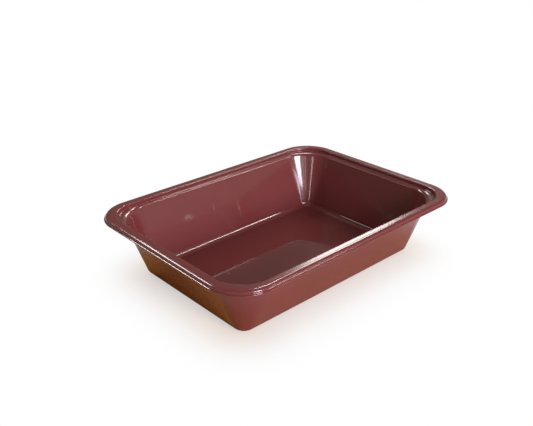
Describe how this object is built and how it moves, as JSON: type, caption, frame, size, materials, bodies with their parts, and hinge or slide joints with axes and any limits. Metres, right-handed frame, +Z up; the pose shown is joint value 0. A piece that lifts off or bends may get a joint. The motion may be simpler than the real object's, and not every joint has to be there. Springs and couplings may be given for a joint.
{
  "type": "developing tray",
  "caption": "Rectangular photographic developing tray: one glossy maroon plastic moulding with leaning walls, conical corners, a stepped mouth and a flat rolled rim.",
  "frame": {"origin": "middle of the flat base, on the surface that the tray stands on", "axes": "+X along the long side, +Y along the short side, +Z up out of the mouth"},
  "size_m": [0.29, 0.212, 0.063],
  "materials": {
    "maroon_gloss_plastic": "high gloss, moulded"
  },
  "bodies": {
    "root": {"tray": "maroon_gloss_plastic"}
  },
  "joints": []
}
